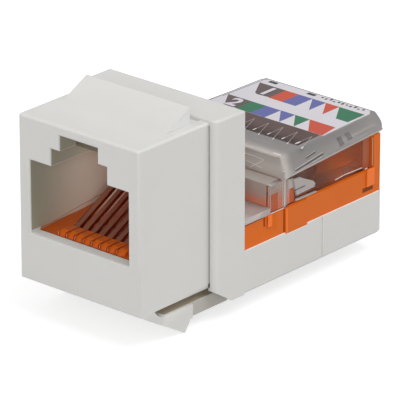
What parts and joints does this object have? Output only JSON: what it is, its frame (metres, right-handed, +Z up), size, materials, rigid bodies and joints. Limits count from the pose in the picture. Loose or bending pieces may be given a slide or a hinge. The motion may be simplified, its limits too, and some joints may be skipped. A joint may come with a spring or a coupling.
{
  "type": "keystone jack",
  "caption": "Snap-in data outlet with a stepped plug port, sprung contact wires, a panel latch and a clear lift-off cap over slotted wire terminals.",
  "frame": {"origin": "middle of the footprint, on the ground under the latch hook", "axes": "+X across to the right seen from the plug side, +Y from the plug port towards the cable, +Z up, latch side down"},
  "size_m": [0.0166, 0.0342, 0.0214],
  "materials": {
    "white_plastic": "satin moulded",
    "orange_plastic": "satin moulded",
    "clear_plastic": "clear polished",
    "label_film": "printed film",
    "contact_metal": "gold-plated bronze",
    "terminal_metal": "tin-plated bronze",
    "board": "solder mask"
  },
  "bodies": {
    "body": {"housing": "white_plastic", "contact_comb": "orange_plastic", "contact_tails": "contact_metal", "circuit_board": "board", "termination_base": "orange_plastic", "idc_terminal_1": "terminal_metal", "idc_terminal_2": "terminal_metal", "idc_terminal_3": "terminal_metal", "idc_terminal_4": "terminal_metal", "idc_terminal_5": "terminal_metal", "idc_terminal_6": "terminal_metal", "idc_terminal_7": "terminal_metal", "idc_terminal_8": "terminal_metal"},
    "latch": {"latch_arm": "white_plastic"},
    "contact_1": {"contact_spring_1": "contact_metal"},
    "contact_2": {"contact_spring_2": "contact_metal"},
    "contact_3": {"contact_spring_3": "contact_metal"},
    "contact_4": {"contact_spring_4": "contact_metal"},
    "contact_5": {"contact_spring_5": "contact_metal"},
    "contact_6": {"contact_spring_6": "contact_metal"},
    "contact_7": {"contact_spring_7": "contact_metal"},
    "contact_8": {"contact_spring_8": "contact_metal"},
    "cap": {"wire_cap": "clear_plastic", "cap_label": "label_film"}
  },
  "joints": [
    {"name": "latch_flex", "type": "hinge", "parent": "body", "child": "latch", "pos_m": [0, -0.0141, 0.00219], "axis": [1, 0, 0], "range_deg": [0, 7], "stiffness_Nm_per_rad": 0.14},
    {"name": "contact_1_flex", "type": "hinge", "parent": "body", "child": "contact_1", "pos_m": [-0.00356, -0.01365, 0.00819], "axis": [-1, 0, 0], "range_deg": [0, 15], "stiffness_Nm_per_rad": 0.02},
    {"name": "contact_2_flex", "type": "hinge", "parent": "body", "child": "contact_2", "pos_m": [-0.00254, -0.01365, 0.00819], "axis": [-1, 0, 0], "range_deg": [0, 15], "stiffness_Nm_per_rad": 0.02},
    {"name": "contact_3_flex", "type": "hinge", "parent": "body", "child": "contact_3", "pos_m": [-0.00152, -0.01365, 0.00819], "axis": [-1, 0, 0], "range_deg": [0, 15], "stiffness_Nm_per_rad": 0.02},
    {"name": "contact_4_flex", "type": "hinge", "parent": "body", "child": "contact_4", "pos_m": [-0.00051, -0.01365, 0.00819], "axis": [-1, 0, 0], "range_deg": [0, 15], "stiffness_Nm_per_rad": 0.02},
    {"name": "contact_5_flex", "type": "hinge", "parent": "body", "child": "contact_5", "pos_m": [0.00051, -0.01365, 0.00819], "axis": [-1, 0, 0], "range_deg": [0, 15], "stiffness_Nm_per_rad": 0.02},
    {"name": "contact_6_flex", "type": "hinge", "parent": "body", "child": "contact_6", "pos_m": [0.00152, -0.01365, 0.00819], "axis": [-1, 0, 0], "range_deg": [0, 15], "stiffness_Nm_per_rad": 0.02},
    {"name": "contact_7_flex", "type": "hinge", "parent": "body", "child": "contact_7", "pos_m": [0.00254, -0.01365, 0.00819], "axis": [-1, 0, 0], "range_deg": [0, 15], "stiffness_Nm_per_rad": 0.02},
    {"name": "contact_8_flex", "type": "hinge", "parent": "body", "child": "contact_8", "pos_m": [0.00356, -0.01365, 0.00819], "axis": [-1, 0, 0], "range_deg": [0, 15], "stiffness_Nm_per_rad": 0.02},
    {"name": "cap_lift", "type": "slide", "parent": "body", "child": "cap", "axis": [0, 0, 1], "range_m": [0, 0.008]}
  ]
}
